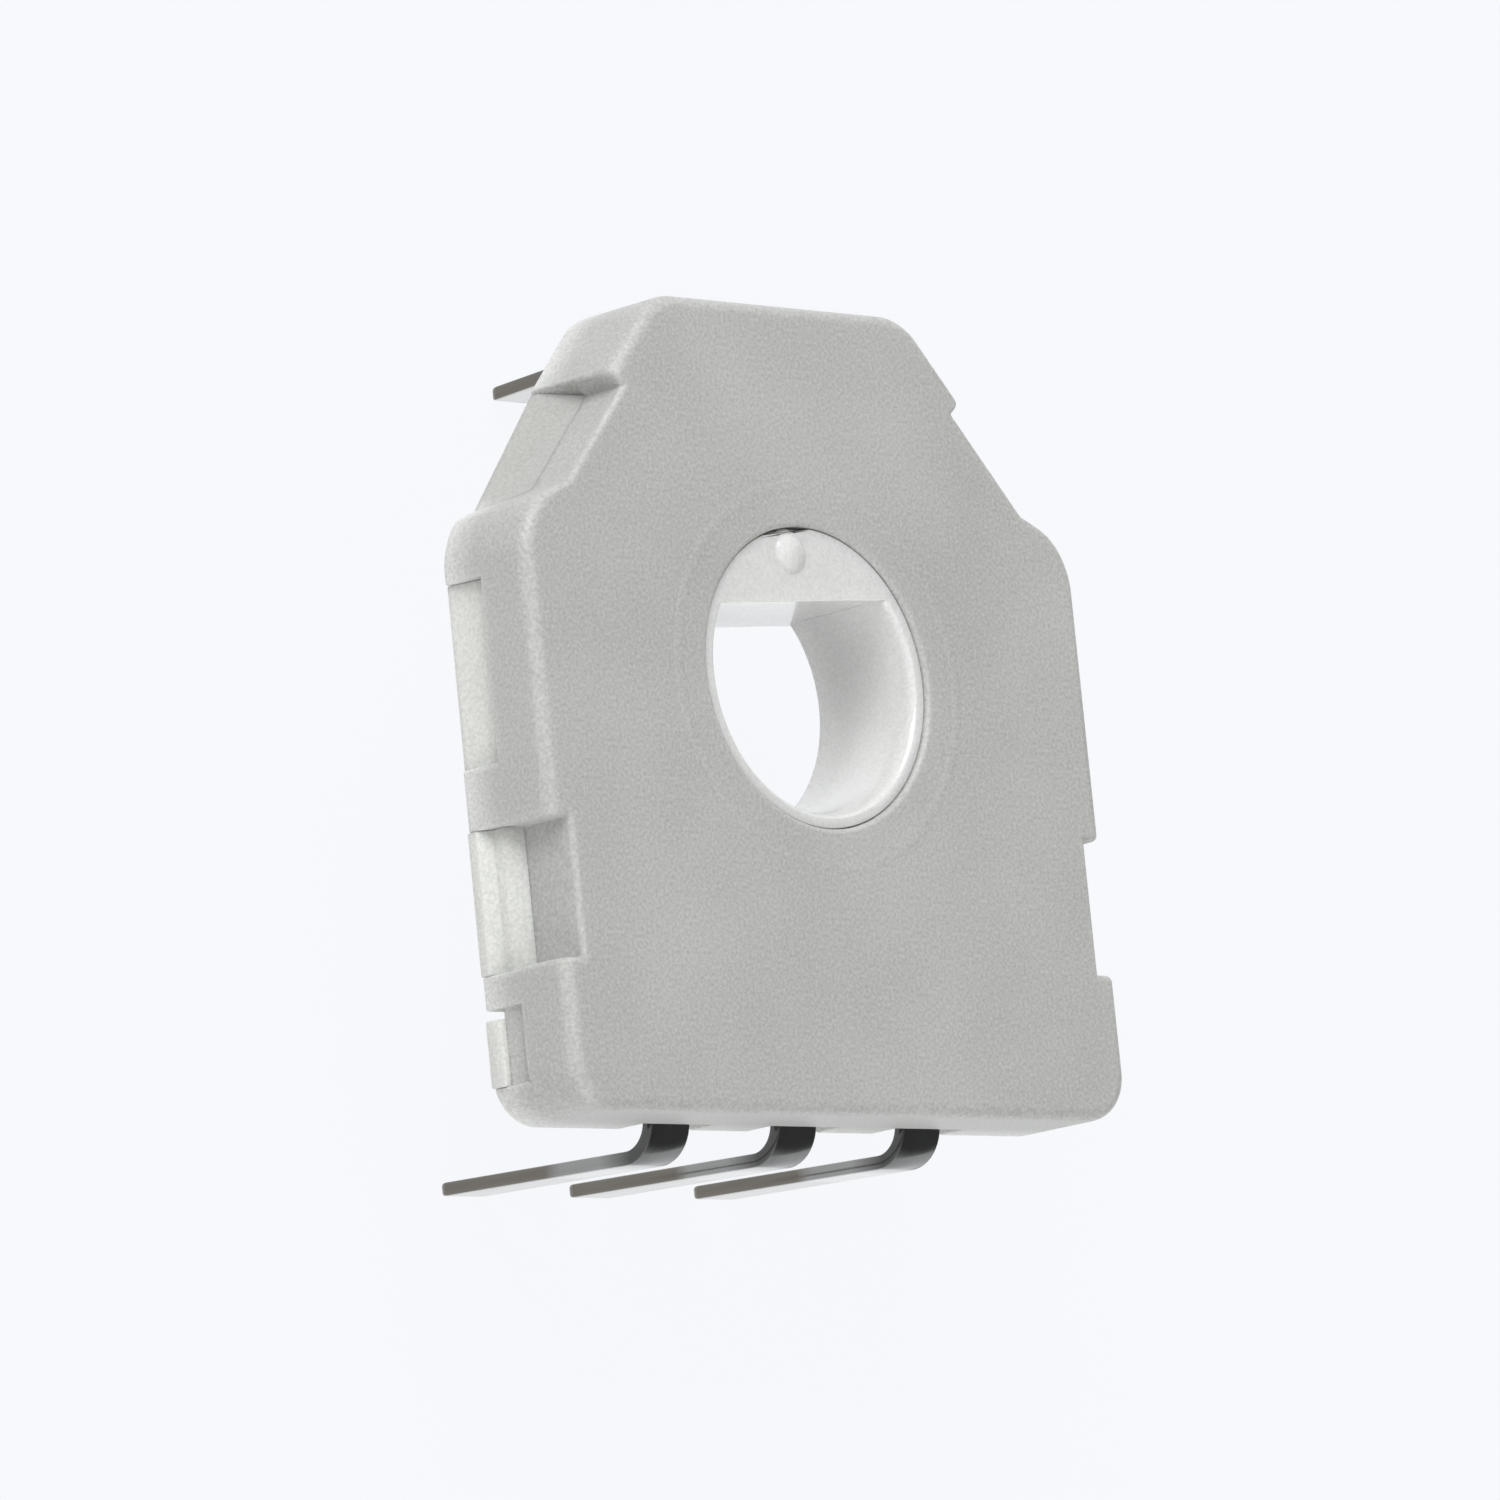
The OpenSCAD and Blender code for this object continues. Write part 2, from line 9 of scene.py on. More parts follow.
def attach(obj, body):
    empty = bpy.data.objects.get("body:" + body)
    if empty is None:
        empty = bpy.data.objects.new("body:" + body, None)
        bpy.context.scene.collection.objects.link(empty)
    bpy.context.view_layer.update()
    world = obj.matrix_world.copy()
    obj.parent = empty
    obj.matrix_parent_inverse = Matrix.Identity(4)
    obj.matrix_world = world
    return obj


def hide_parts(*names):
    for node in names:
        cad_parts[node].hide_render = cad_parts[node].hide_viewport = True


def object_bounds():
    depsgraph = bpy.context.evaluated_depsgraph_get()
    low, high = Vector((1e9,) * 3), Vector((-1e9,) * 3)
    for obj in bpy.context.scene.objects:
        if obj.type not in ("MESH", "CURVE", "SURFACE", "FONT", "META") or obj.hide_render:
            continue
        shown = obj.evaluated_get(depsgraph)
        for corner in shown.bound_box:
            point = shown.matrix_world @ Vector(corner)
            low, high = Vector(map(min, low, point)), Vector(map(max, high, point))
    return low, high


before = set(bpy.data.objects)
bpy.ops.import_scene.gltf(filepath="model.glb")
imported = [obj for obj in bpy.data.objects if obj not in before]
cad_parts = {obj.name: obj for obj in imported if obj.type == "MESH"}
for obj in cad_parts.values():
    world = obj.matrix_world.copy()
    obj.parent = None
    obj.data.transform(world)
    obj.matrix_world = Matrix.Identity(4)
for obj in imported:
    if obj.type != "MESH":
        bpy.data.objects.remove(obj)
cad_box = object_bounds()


# The setting: a pale table in a white room with one dark side, lit by two soft boxes.
# A long lens looks at the sensor's front from the left. Table and room look white to the eye
# and in mirrorings, and the table keeps a faint shadow.
MM = 0.001
scene = bpy.context.scene
scene.view_settings.view_transform = "Standard"

lens = bpy.data.cameras.new("camera")
lens.lens = 243.3
lens.sensor_width = 36
lens.clip_start = 0.005
camera = bpy.data.objects.new("camera", lens)
scene.collection.objects.link(camera)
view_right = Vector((0.71261831, -0.09827933, 0.69463395))
view_up = Vector((-0.03973168, 0.98289608, 0.17982406))
view_back = Vector((-0.70042597, -0.15574489, 0.69652494))
view_from = Vector((-100.95, -23.22, 100.97)) * MM
view_axes = Matrix((view_right, view_up, view_back)).transposed().to_4x4()
camera.matrix_world = Matrix.Translation(view_from) @ view_axes
scene.camera = camera

paper_white = (0.95, 0.965, 0.995, 1)


def seen_directly(nodes, links):
    """Share of the rays that look at or mirror a surface, in place of being lit by it."""
    path = nodes.new("ShaderNodeLightPath")
    mirrored = nodes.new("ShaderNodeMath")
    mirrored.operation = "MAXIMUM"
    links.new(path.outputs["Is Glossy Ray"], mirrored.inputs[0])
    links.new(path.outputs["Is Transmission Ray"], mirrored.inputs[1])
    seen = nodes.new("ShaderNodeMath")
    seen.operation = "MAXIMUM"
    links.new(path.outputs["Is Camera Ray"], seen.inputs[0])
    links.new(mirrored.outputs[0], seen.inputs[1])
    return seen.outputs[0]


room = bpy.data.worlds.new("white_room")
room.use_nodes = True
scene.world = room
nodes, links = room.node_tree.nodes, room.node_tree.links
nodes.clear()
dark_side = Vector((0.68, -0.35, 0.64)).normalized()
outwards = nodes.new("ShaderNodeTexCoord")
to_dark = nodes.new("ShaderNodeVectorMath")
to_dark.operation = "DOT_PRODUCT"
to_dark.inputs[1].default_value = dark_side
links.new(outwards.outputs["Generated"], to_dark.inputs[0])
light_fall = nodes.new("ShaderNodeMapRange")
light_fall.inputs["From Min"].default_value = -1
light_fall.inputs["From Max"].default_value = 1
light_fall.inputs["To Min"].default_value = 0.52
light_fall.inputs["To Max"].default_value = 0.48
links.new(to_dark.outputs["Value"], light_fall.inputs["Value"])
room_light = nodes.new("ShaderNodeBackground")
room_light.inputs["Color"].default_value = (1, 1, 1, 1)
links.new(light_fall.outputs[0], room_light.inputs["Strength"])
seen_fall = nodes.new("ShaderNodeMapRange")
seen_fall.interpolation_type = "SMOOTHSTEP"
seen_fall.inputs["From Min"].default_value = 0.45
seen_fall.inputs["From Max"].default_value = 0.9
seen_fall.inputs["To Min"].default_value = 1
seen_fall.inputs["To Max"].default_value = 0.12
links.new(to_dark.outputs["Value"], seen_fall.inputs["Value"])
room_seen = nodes.new("ShaderNodeBackground")
room_seen.inputs["Color"].default_value = paper_white
links.new(seen_fall.outputs[0], room_seen.inputs["Strength"])
room_mix = nodes.new("ShaderNodeMixShader")
room_out = nodes.new("ShaderNodeOutputWorld")
links.new(seen_directly(nodes, links), room_mix.inputs["Fac"])
links.new(room_light.outputs[0], room_mix.inputs[1])
links.new(room_seen.outputs[0], room_mix.inputs[2])
links.new(room_mix.outputs[0], room_out.inputs["Surface"])

table_z = cad_box[0][2]
table_r = 0.8
shape = bmesh.new()
bmesh.ops.create_circle(shape, cap_ends=True, segments=64, radius=table_r,
                        matrix=Matrix.Translation((0, 0, table_z)))
table_mesh = bpy.data.meshes.new("table")
shape.to_mesh(table_mesh)
shape.free()
table = bpy.data.objects.new("table", table_mesh)
scene.collection.objects.link(table)

table_paper = bpy.data.materials.new("table_paper")
table_paper.use_nodes = True
nodes, links = table_paper.node_tree.nodes, table_paper.node_tree.links
nodes.clear()
paper_diffuse = nodes.new("ShaderNodeBsdfDiffuse")
paper_diffuse.inputs["Color"].default_value = (0.6, 0.6, 0.6, 1)
paper_glow = nodes.new("ShaderNodeEmission")
paper_glow.inputs["Color"].default_value = paper_white
paper_glow.inputs["Strength"].default_value = 1
glow_share = nodes.new("ShaderNodeMath")
glow_share.operation = "MULTIPLY"
glow_share.inputs[1].default_value = 0.95
paper_mix = nodes.new("ShaderNodeMixShader")
paper_out = nodes.new("ShaderNodeOutputMaterial")
links.new(seen_directly(nodes, links), glow_share.inputs[0])
links.new(glow_share.outputs[0], paper_mix.inputs["Fac"])
links.new(paper_diffuse.outputs[0], paper_mix.inputs[1])
links.new(paper_glow.outputs[0], paper_mix.inputs[2])
links.new(paper_mix.outputs[0], paper_out.inputs["Surface"])
table_mesh.materials.append(table_paper)

# One soft box stands above the lens, and a weaker one below it
box_size = 0.2
box_distance = 0.3
to_key = view_right * 0.06 + view_up * 0.8 + view_back * 0.6
to_fill = view_back * 0.45 - view_up * 0.85
for name, towards, watts in (("key_box", to_key, 0.7), ("fill_box", to_fill, 0.5)):
    box_data = bpy.data.lights.new(name, "AREA")
    box_data.size = box_size
    box_data.energy = watts
    soft_box = bpy.data.objects.new(name, box_data)
    scene.collection.objects.link(soft_box)
    towards = towards.normalized()
    facing_in = towards.to_track_quat("Z", "Y").to_matrix().to_4x4()
    soft_box.matrix_world = Matrix.Translation(towards * box_distance) @ facing_in


# The pins: four blades stamped from bronze strip, tin-plated, moulded into the base and bent
# square to the board. Over the bend the plating's colour is darkened: painted shade for the dark
# room that the bent metal mirrors there. The sheared edges turn dull and brownish over the outer half.
pin_pitch = 2.5
pin_w = 0.75
pin_t = 0.2
pin_end = 3.7
pin_bend_r = 0.4
pin_lean = math.radians(2)
pin_tip_r = 0.2
pin_nose = 0.085
pin_edge = 0.03
nose_turns = [math.radians(18 * k) for k in range(6)]
strip_top = 0.8
terminal_row = -6.62
terminal_root = -4.8
support_row = 5.38
support_root = 4.3


def put_piece(name, shape, finish, body, node):
    """Makes a piece of a shape in millimetres and lets it ride, in place of its solid."""
    bmesh.ops.scale(shape, vec=(MM, MM, MM), verts=shape.verts)
    mesh = bpy.data.meshes.new(name)
    shape.to_mesh(mesh)
    shape.free()
    mesh.shade_smooth()
    mesh.set_sharp_from_angle(angle=math.radians(40))
    mesh.materials.append(finish)
    piece = bpy.data.objects.new(name, mesh)
    scene.collection.objects.link(piece)
    even = piece.modifiers.new("even_normals", "WEIGHTED_NORMAL")
    even.keep_sharp = True
    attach(piece, body)
    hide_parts(node)


def soften(shape, width, segments, keep=lambda edge: True):
    """Rounds the sharp edges of a shape."""
    sharper_than = math.radians(35)
    shape.normal_update()
    sharp = [e for e in shape.edges if e.is_manifold and e.calc_face_angle(0) > sharper_than and keep(e)]
    bmesh.ops.bevel(shape, geom=sharp, offset=width, offset_type="OFFSET", segments=segments,
                    profile=0.5, affect="EDGES", material=-1, clamp_overlap=False)


def bent_pin(x, row, root):
    """A blade whose strip runs from its root in the base to the bend, then down to the tip."""
    out = 1 if row > 0 else -1
    bend_y = row + out * (pin_t / 2 - pin_bend_r - pin_t)
    bend_z = strip_top - pin_bend_r - pin_t
    shape = bmesh.new()
    section = (Matrix.Translation((x, root, strip_top - pin_t / 2))
               @ Matrix.Rotation(math.radians(90), 4, "X") @ Matrix.Diagonal((pin_w, pin_t, 1, 1)))
    bmesh.ops.create_grid(shape, x_segments=1, y_segments=1, size=0.5, matrix=section)
    end = bmesh.ops.extrude_face_region(shape, geom=shape.faces[:])["geom"]
    verts = [v for v in end if isinstance(v, bmesh.types.BMVert)]
    bmesh.ops.translate(shape, vec=(0, bend_y - root, 0), verts=verts)
    face = [f for f in end if isinstance(f, bmesh.types.BMFace)]
    end = bmesh.ops.spin(shape, geom=face, cent=(x, bend_y, bend_z), axis=(-out, 0, 0),
                         angle=math.radians(90) + pin_lean, steps=12, use_duplicate=False)["geom_last"]
    bmesh.ops.delete(shape, geom=face, context="FACES_ONLY")
    half_w, half_t = pin_w / 2, pin_t / 2
    for turn in nose_turns:
        face = [f for f in end if isinstance(f, bmesh.types.BMFace)]
        end = bmesh.ops.extrude_face_region(shape, geom=face)["geom"]
        bmesh.ops.delete(shape, geom=face, context="FACES_ONLY")
        verts = [v for v in end if isinstance(v, bmesh.types.BMVert)]
        for vert in verts:
            drop = vert.co.z + pin_end - pin_tip_r * (1 - math.sin(turn))
            vert.co += Vector((0, -out * drop * math.tan(pin_lean), -drop))
        narrow = pin_w / 2 - pin_tip_r * (1 - math.cos(turn))
        thin = pin_t / 2 - pin_nose * (1 - math.cos(turn))
        middle = sum((v.co for v in verts), Vector()) / len(verts)
        bmesh.ops.scale(shape, vec=(narrow / half_w, thin / half_t, 1), verts=verts,
                        space=Matrix.Translation(-middle))
        half_w, half_t = narrow, thin
    bmesh.ops.recalc_face_normals(shape, faces=shape.faces)
    soften(shape, pin_edge, segments=2)
    return shape


tin_plate = bpy.data.materials.new("tin_plate")
tin_plate.use_nodes = True
nodes, links = tin_plate.node_tree.nodes, tin_plate.node_tree.links
tin_shader = nodes["Principled BSDF"]
tin_shader.inputs["Metallic"].default_value = 1
where = nodes.new("ShaderNodeTexCoord")
along = nodes.new("ShaderNodeSeparateXYZ")
links.new(where.outputs["Object"], along.inputs[0])
ragged = nodes.new("ShaderNodeTexNoise")
ragged.inputs["Scale"].default_value = 2500
ragged.inputs["Detail"].default_value = 3
links.new(where.outputs["Object"], ragged.inputs["Vector"])
ragged_step = nodes.new("ShaderNodeMath")
ragged_step.operation = "MULTIPLY_ADD"
ragged_step.inputs[1].default_value = 0.35 * MM
links.new(ragged.outputs["Fac"], ragged_step.inputs[0])
links.new(along.outputs["Z"], ragged_step.inputs[2])
dulled = nodes.new("ShaderNodeMapRange")
dulled.inputs["From Min"].default_value = -1.25 * MM
dulled.inputs["From Max"].default_value = -0.95 * MM
links.new(ragged_step.outputs[0], dulled.inputs["Value"])
drawn = nodes.new("ShaderNodeMapping")
drawn.inputs["Scale"].default_value = (1, 1, 0.06)
links.new(where.outputs["Object"], drawn.inputs["Vector"])
streaks = nodes.new("ShaderNodeTexNoise")
streaks.inputs["Scale"].default_value = 14000
streaks.inputs["Detail"].default_value = 4
links.new(drawn.outputs[0], streaks.inputs["Vector"])
sheared_tone = nodes.new("ShaderNodeMix")
sheared_tone.data_type = "RGBA"
sheared_tone.inputs["A"].default_value = (0.20, 0.185, 0.16, 1)
sheared_tone.inputs["B"].default_value = (0.34, 0.34, 0.33, 1)
links.new(dulled.outputs[0], sheared_tone.inputs["Factor"])
facing = nodes.new("ShaderNodeSeparateXYZ")
links.new(where.outputs["Normal"], facing.inputs[0])
sheared = nodes.new("ShaderNodeMath")
sheared.operation = "ABSOLUTE"
links.new(facing.outputs["X"], sheared.inputs[0])
plate_tone = nodes.new("ShaderNodeMix")
plate_tone.data_type = "RGBA"
plate_tone.inputs["A"].default_value = (0.85, 0.85, 0.83, 1)
links.new(sheared.outputs[0], plate_tone.inputs["Factor"])
links.new(sheared_tone.outputs["Result"], plate_tone.inputs["B"])
plate_streak = nodes.new("ShaderNodeMix")
plate_streak.data_type = "RGBA"
plate_streak.blend_type = "MULTIPLY"
plate_streak.inputs["Factor"].default_value = 0.25
links.new(plate_tone.outputs["Result"], plate_streak.inputs["A"])
links.new(streaks.outputs["Fac"], plate_streak.inputs["B"])
# Painted shade and reflection: towards the bend the plating's colour is darkened down to 0.3
painted_bend_shade = nodes.new("ShaderNodeMapRange")
painted_bend_shade.inputs["From Min"].default_value = -0.35 * MM
painted_bend_shade.inputs["From Max"].default_value = 0.3 * MM
painted_bend_shade.inputs["To Min"].default_value = 1
painted_bend_shade.inputs["To Max"].default_value = 0.3
links.new(along.outputs["Z"], painted_bend_shade.inputs["Value"])
bend_shaded_tone = nodes.new("ShaderNodeMix")
bend_shaded_tone.data_type = "RGBA"
bend_shaded_tone.blend_type = "MULTIPLY"
bend_shaded_tone.inputs["Factor"].default_value = 1
links.new(plate_streak.outputs["Result"], bend_shaded_tone.inputs["A"])
links.new(painted_bend_shade.outputs[0], bend_shaded_tone.inputs["B"])
links.new(bend_shaded_tone.outputs["Result"], tin_shader.inputs["Base Color"])
plate_rough = nodes.new("ShaderNodeMapRange")
plate_rough.inputs["To Min"].default_value = 0.3
plate_rough.inputs["To Max"].default_value = 0.16
links.new(dulled.outputs[0], plate_rough.inputs["Value"])
links.new(plate_rough.outputs[0], tin_shader.inputs["Roughness"])
plate_bump = nodes.new("ShaderNodeBump")
plate_bump.inputs["Strength"].default_value = 0.06
plate_bump.inputs["Distance"].default_value = 0.01 * MM
links.new(streaks.outputs["Fac"], plate_bump.inputs["Height"])
links.new(plate_bump.outputs[0], tin_shader.inputs["Normal"])

for node, x in (("terminal_1", -pin_pitch), ("terminal_2", 0), ("terminal_3", pin_pitch)):
    put_piece(node + "_blade", bent_pin(x, terminal_row, terminal_root), tin_plate,
              "stator", node)
put_piece("support_pin_blade", bent_pin(0, support_row, support_root), tin_plate,
          "stator", "support_pin")


# The rear base: a white moulded tray round the pins' strips, with a boss that the rotor turns in.
# Its tongues and lugs snap into the windows of the housing's skirt. Those on the sides are given a paler
# colour, 1.46 times, from 4.6 to 4.85 mm out from the middle.
body_w = 11
top_w = 5
body_top = 5.4
shoulder_y = 1.92
body_bottom = 6.25
body_t = 2.1
top_r = 0.85
shoulder_r = 1
bottom_r = 0.7
least_r = 0.12
over = 0.5  # how far a cutting tool reaches past its cut
same_place = 0.001  # heights closer than this are one height
weld = 0.0005  # corners closer than this become one

base_inset = 0.75
base_floor = 0.6
base_rim_inset = 1.1
base_rim_z = 1.1
base_edge = 0.02
boss_r = 2.8
boss_z = 0.85
base_bore_r = 2.5
lug_root = 0.925
lug_gap = 0.004
lug_weld = 0.006
window_wider = 0.03
skirt_lift = 0.4
window_z = 1.16
slope_window_z = 1.32
slope_notch_from = 1.57
slope_notch_l = 2.52
slope_notch_d = 0.31
slope_lip_l = 0.64
slope_lean = slope_lip_l / slope_notch_d
slope_heel_z = 0.55
slope_heel_top = 0.05
slope_heel_low = 0.21
side_notch_y = -3.15
side_notch_l = 1.97
side_notch_d = 0.37
side_heel_z = 0.58
side_land_d = 0.17
side_land_low_z = 0.75
side_land_top_z = 0.91
upper_window_y = 0.04
upper_window_l = 2.62
upper_lug_recess = 0.06
upper_lug_low = 0.2
upper_lug_ramp_z = 0.5
lower_window_y = -5.18
lower_window_l = 1.09
lower_lug_recess = 0.1
lower_heel_z = 0.7
lower_heel_slant = 0.14
# The base turns 1.46 times paler in colour from 4.6 to 4.85 mm out from the middle, on its side lugs
side_paler_from = 4.6
side_paler_to = 4.85
side_paler_gain = 1.46

slope_run = Vector((body_w / 2 - top_w / 2, shoulder_y - body_top))
slope_turn = math.atan2(slope_run.x, -slope_run.y)
slope_mid = Vector((top_w / 2, body_top)) + slope_run.normalized() * (slope_notch_from + slope_notch_l / 2)
on_slope = Matrix.Translation((slope_mid.x, slope_mid.y, 0)) @ Matrix.Rotation(slope_turn, 4, "Z")


def on_side(y):
    """Frame on the right side face at a height: X outwards, Y up the face."""
    return Matrix.Translation((body_w / 2, y, 0))


def body_slab(inset, low, high):
    """The body's rounded outline, moved in by an inset, as a slab between two heights."""
    half = body_w / 2
    shape = bmesh.new()
    corners = ((half, -body_bottom), (half, shoulder_y), (top_w / 2, body_top),
               (-top_w / 2, body_top), (-half, shoulder_y), (-half, -body_bottom))
    face = shape.faces.new([shape.verts.new((x, y, low)) for x, y in corners])
    face.normal_update()
    if inset:
        ring = bmesh.ops.inset_individual(shape, faces=[face], thickness=inset,
                                          use_even_offset=True)["faces"]
        bmesh.ops.delete(shape, geom=ring, context="FACES")
    top_turn = math.pi / 2 - slope_turn
    for radius, turn, chosen in ((bottom_r, math.pi / 2, lambda v: v.co.y < -body_bottom / 2),
                                 (shoulder_r, slope_turn, lambda v: 0 < v.co.y < body_top / 2),
                                 (top_r, top_turn, lambda v: v.co.y > body_top / 2)):
        along_edge = max(radius - inset, least_r) * math.tan(turn / 2)
        bmesh.ops.bevel(shape, geom=[v for v in shape.verts if chosen(v)], offset=along_edge,
                        offset_type="OFFSET", segments=10, profile=0.5, affect="VERTICES", material=-1)
    end = bmesh.ops.extrude_face_region(shape, geom=shape.faces[:])["geom"]
    verts = [v for v in end if isinstance(v, bmesh.types.BMVert)]
    bmesh.ops.translate(shape, vec=(0, 0, high - low), verts=verts)
    bmesh.ops.recalc_face_normals(shape, faces=shape.faces)
    return shape


def open_edge(edge):
    """Tells an edge of a piece from one in the joint at the windows' front ends."""
    return not any(all(abs(v.co.z - z) < same_place for v in edge.verts)
                   for z in (window_z, slope_window_z))


def add_block(shape, low, high, at=Matrix(), lean=0):
    """Adds a box between two corners of a frame; its lower end may lean along the face."""
    size = Vector(high) - Vector(low)
    middle = (Vector(high) + Vector(low)) / 2
    place = Matrix.Translation(middle) @ Matrix.Diagonal((*size, 1))
    new = bmesh.ops.create_cube(shape, size=1, matrix=place)["verts"]
    for vert in new:
        if vert.co.y < middle.y:
            vert.co.y -= vert.co.x * lean
    bmesh.ops.transform(shape, matrix=at, verts=new)


def add_profile(shape, points, length, at, lean=0, shift=0):
    """Adds a bar of a profile in X and Z, along Y.

    Its lower end may lean, and its outer rear edge may shift inwards there.
    """
    near = [shape.verts.new((x, -length / 2 - x * lean, z)) for x, z in points]
    far = [shape.verts.new((x, length / 2, z)) for x, z in points]
    near[1].co.x -= shift
    near[2].co.x -= shift
    shape.faces.new(near)
    shape.faces.new(far[::-1])
    for k in range(len(points)):
        shape.faces.new((near[k - 1], far[k - 1], far[k]))
        shape.faces.new((near[k - 1], far[k], near[k]))
    bmesh.ops.transform(shape, matrix=at, verts=near + far)


def add_turned(shape, points, steps=96, at=Matrix()):
    """Adds a solid turned about Z from a profile of radius and height that starts and ends on the axis."""
    verts = [shape.verts.new((r, 0, z)) for r, z in points]
    edges = [shape.edges.new(pair) for pair in zip(verts, verts[1:])]
    before = set(shape.verts) - set(verts)
    bmesh.ops.spin(shape, geom=verts + edges, cent=(0, 0, 0), axis=(0, 0, 1), angle=2 * math.pi,
                   steps=steps, use_merge=True)
    new = [v for v in shape.verts if v not in before]
    bmesh.ops.remove_doubles(shape, verts=new, dist=weld)
    for (_, z), (cap_r, cap_z) in ((points[0], points[1]), (points[-1], points[-2])):
        if z == cap_z:
            level = [f for f in shape.faces
                     if all(abs(v.co.z - z) < same_place / 10 and v not in before for v in f.verts)]
            cap = [f for f in level if f.calc_center_median().length_squared < cap_r ** 2 + z ** 2]
            bmesh.ops.dissolve_faces(shape, faces=cap, use_verts=True)
    new = [v for v in shape.verts if v not in before]
    bmesh.ops.transform(shape, matrix=at, verts=new)


def both_sides(shape):
    """Adds the mirror image of a shape on the left."""
    bmesh.ops.mirror(shape, geom=shape.verts[:] + shape.edges[:] + shape.faces[:], axis="X", merge_dist=0)
    bmesh.ops.recalc_face_normals(shape, faces=shape.faces)
    return shape


def carve(shape, tool, operation="DIFFERENCE"):
    """Cuts a tool's shape out of a shape, or joins it on, and gives the clean result."""
    holders = []
    for source in (shape, tool):
        bmesh.ops.recalc_face_normals(source, faces=source.faces)
        mesh = bpy.data.meshes.new("carving")
        source.to_mesh(mesh)
        source.free()
        holder = bpy.data.objects.new("carving", mesh)
        scene.collection.objects.link(holder)
        holders.append(holder)
    step = holders[0].modifiers.new("carve", "BOOLEAN")
    step.operation = operation
    step.solver = "EXACT"
    step.object = holders[1]
    result = bmesh.new()
    result.from_object(holders[0], bpy.context.evaluated_depsgraph_get())
    for holder in holders:
        bpy.data.meshes.remove(holder.data)
    bmesh.ops.remove_doubles(result, verts=result.verts, dist=weld)
    return result


shape = body_slab(base_inset, 0, base_rim_z)
shape = carve(shape, body_slab(base_rim_inset, base_floor, base_rim_z + over))
boss = bmesh.new()
add_turned(boss, ((0, base_floor / 2), (boss_r, base_floor / 2), (boss_r, boss_z), (0, boss_z)))
shape = carve(shape, boss, "UNION")
bore = bmesh.new()
add_turned(bore, ((0, -over), (base_bore_r, -over), (base_bore_r, boss_z + over), (0, boss_z + over)))
shape = carve(shape, bore)

lugs = bmesh.new()
slope_tongue = ((-lug_root, skirt_lift), (-slope_heel_top, skirt_lift), (-slope_heel_top, slope_heel_z),
                (-slope_notch_d, slope_window_z), (-lug_root, slope_window_z))
add_profile(lugs, slope_tongue, slope_notch_l + 2 * (window_wider - lug_gap), on_slope,
            lean=slope_lean, shift=slope_heel_low - slope_heel_top)
side_tongue = ((-lug_root, skirt_lift), (0, skirt_lift), (0, side_heel_z), (-side_land_d, side_land_low_z),
               (-side_land_d, side_land_top_z), (-side_notch_d, window_z), (-lug_root, window_z))
add_profile(lugs, side_tongue, side_notch_l + 2 * (window_wider - lug_gap), on_side(side_notch_y))
upper_lug = ((-lug_root, skirt_lift), (-upper_lug_recess, skirt_lift),
             (-upper_lug_recess, upper_lug_ramp_z), (-upper_lug_low, window_z), (-lug_root, window_z))
add_profile(lugs, upper_lug, upper_window_l - 2 * lug_gap, on_side(upper_window_y))
lower_half = lower_window_l / 2 - lug_gap
heel = bmesh.new()
add_block(heel, (-lug_root, -lower_half, skirt_lift), (0, lower_half, lower_heel_z))
rear_top = [v for v in heel.verts if v.co.y > 0 and v.co.z < lower_heel_z]
bmesh.ops.translate(heel, vec=(0, -lower_heel_slant, 0), verts=rear_top)
bmesh.ops.transform(heel, matrix=on_side(lower_window_y), verts=heel.verts)
shape = carve(shape, both_sides(lugs), "UNION")
shape = carve(shape, both_sides(heel), "UNION")
bmesh.ops.remove_doubles(shape, verts=shape.verts, dist=lug_weld)

strips = bmesh.new()
for x in (-pin_pitch, 0, pin_pitch):
    add_block(strips, (x - pin_w / 2, -body_bottom, strip_top - pin_t),
              (x + pin_w / 2, terminal_root, strip_top))
add_block(strips, (-pin_w / 2, support_root - over, strip_top - pin_t), (pin_w / 2, body_top, strip_top))
shape = carve(shape, strips)
soften(shape, base_edge, segments=2, keep=open_edge)


